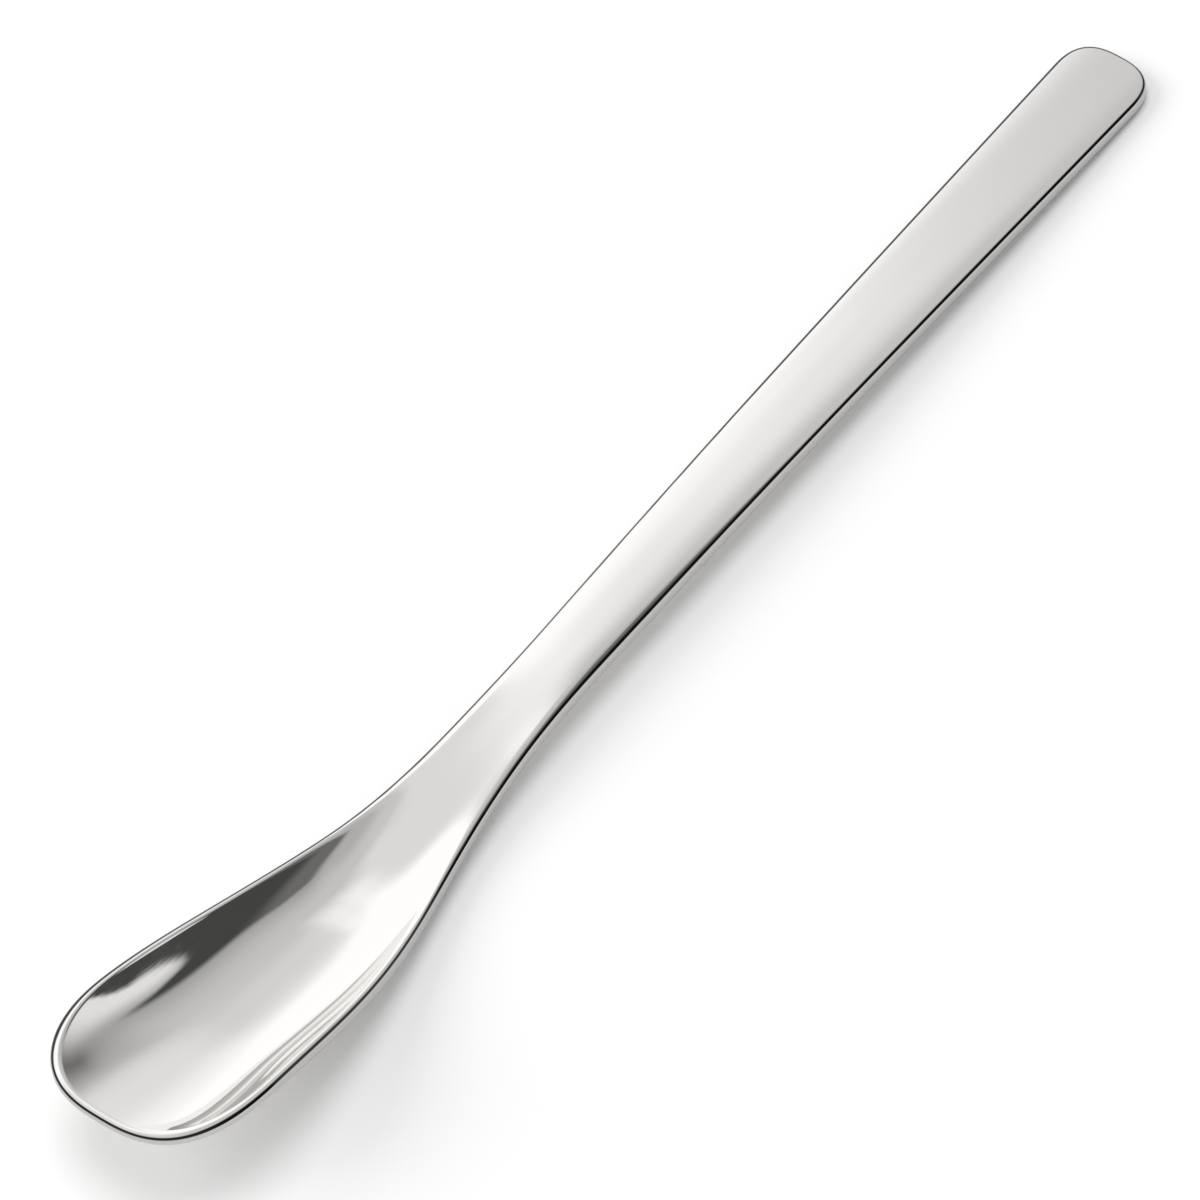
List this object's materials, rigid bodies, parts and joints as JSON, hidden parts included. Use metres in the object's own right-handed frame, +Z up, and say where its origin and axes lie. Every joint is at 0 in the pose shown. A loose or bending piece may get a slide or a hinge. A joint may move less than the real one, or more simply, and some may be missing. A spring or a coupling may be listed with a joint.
{
  "type": "dessert spoon",
  "caption": "Slim dessert spoon with a long oval bowl, a narrow neck and a flat tapering handle with a rounded end, in polished stainless steel.",
  "frame": {"origin": "on the table, under the middle of the spoon's length", "axes": "+X along the spoon from the bowl's tip to the end of the handle, +Y across it, +Z up out of the bowl"},
  "size_m": [0.18, 0.0222, 0.0132],
  "materials": {
    "steel": "mirror-polished stainless steel with fine handling marks"
  },
  "bodies": {
    "root": {"spoon": "steel"}
  },
  "joints": []
}
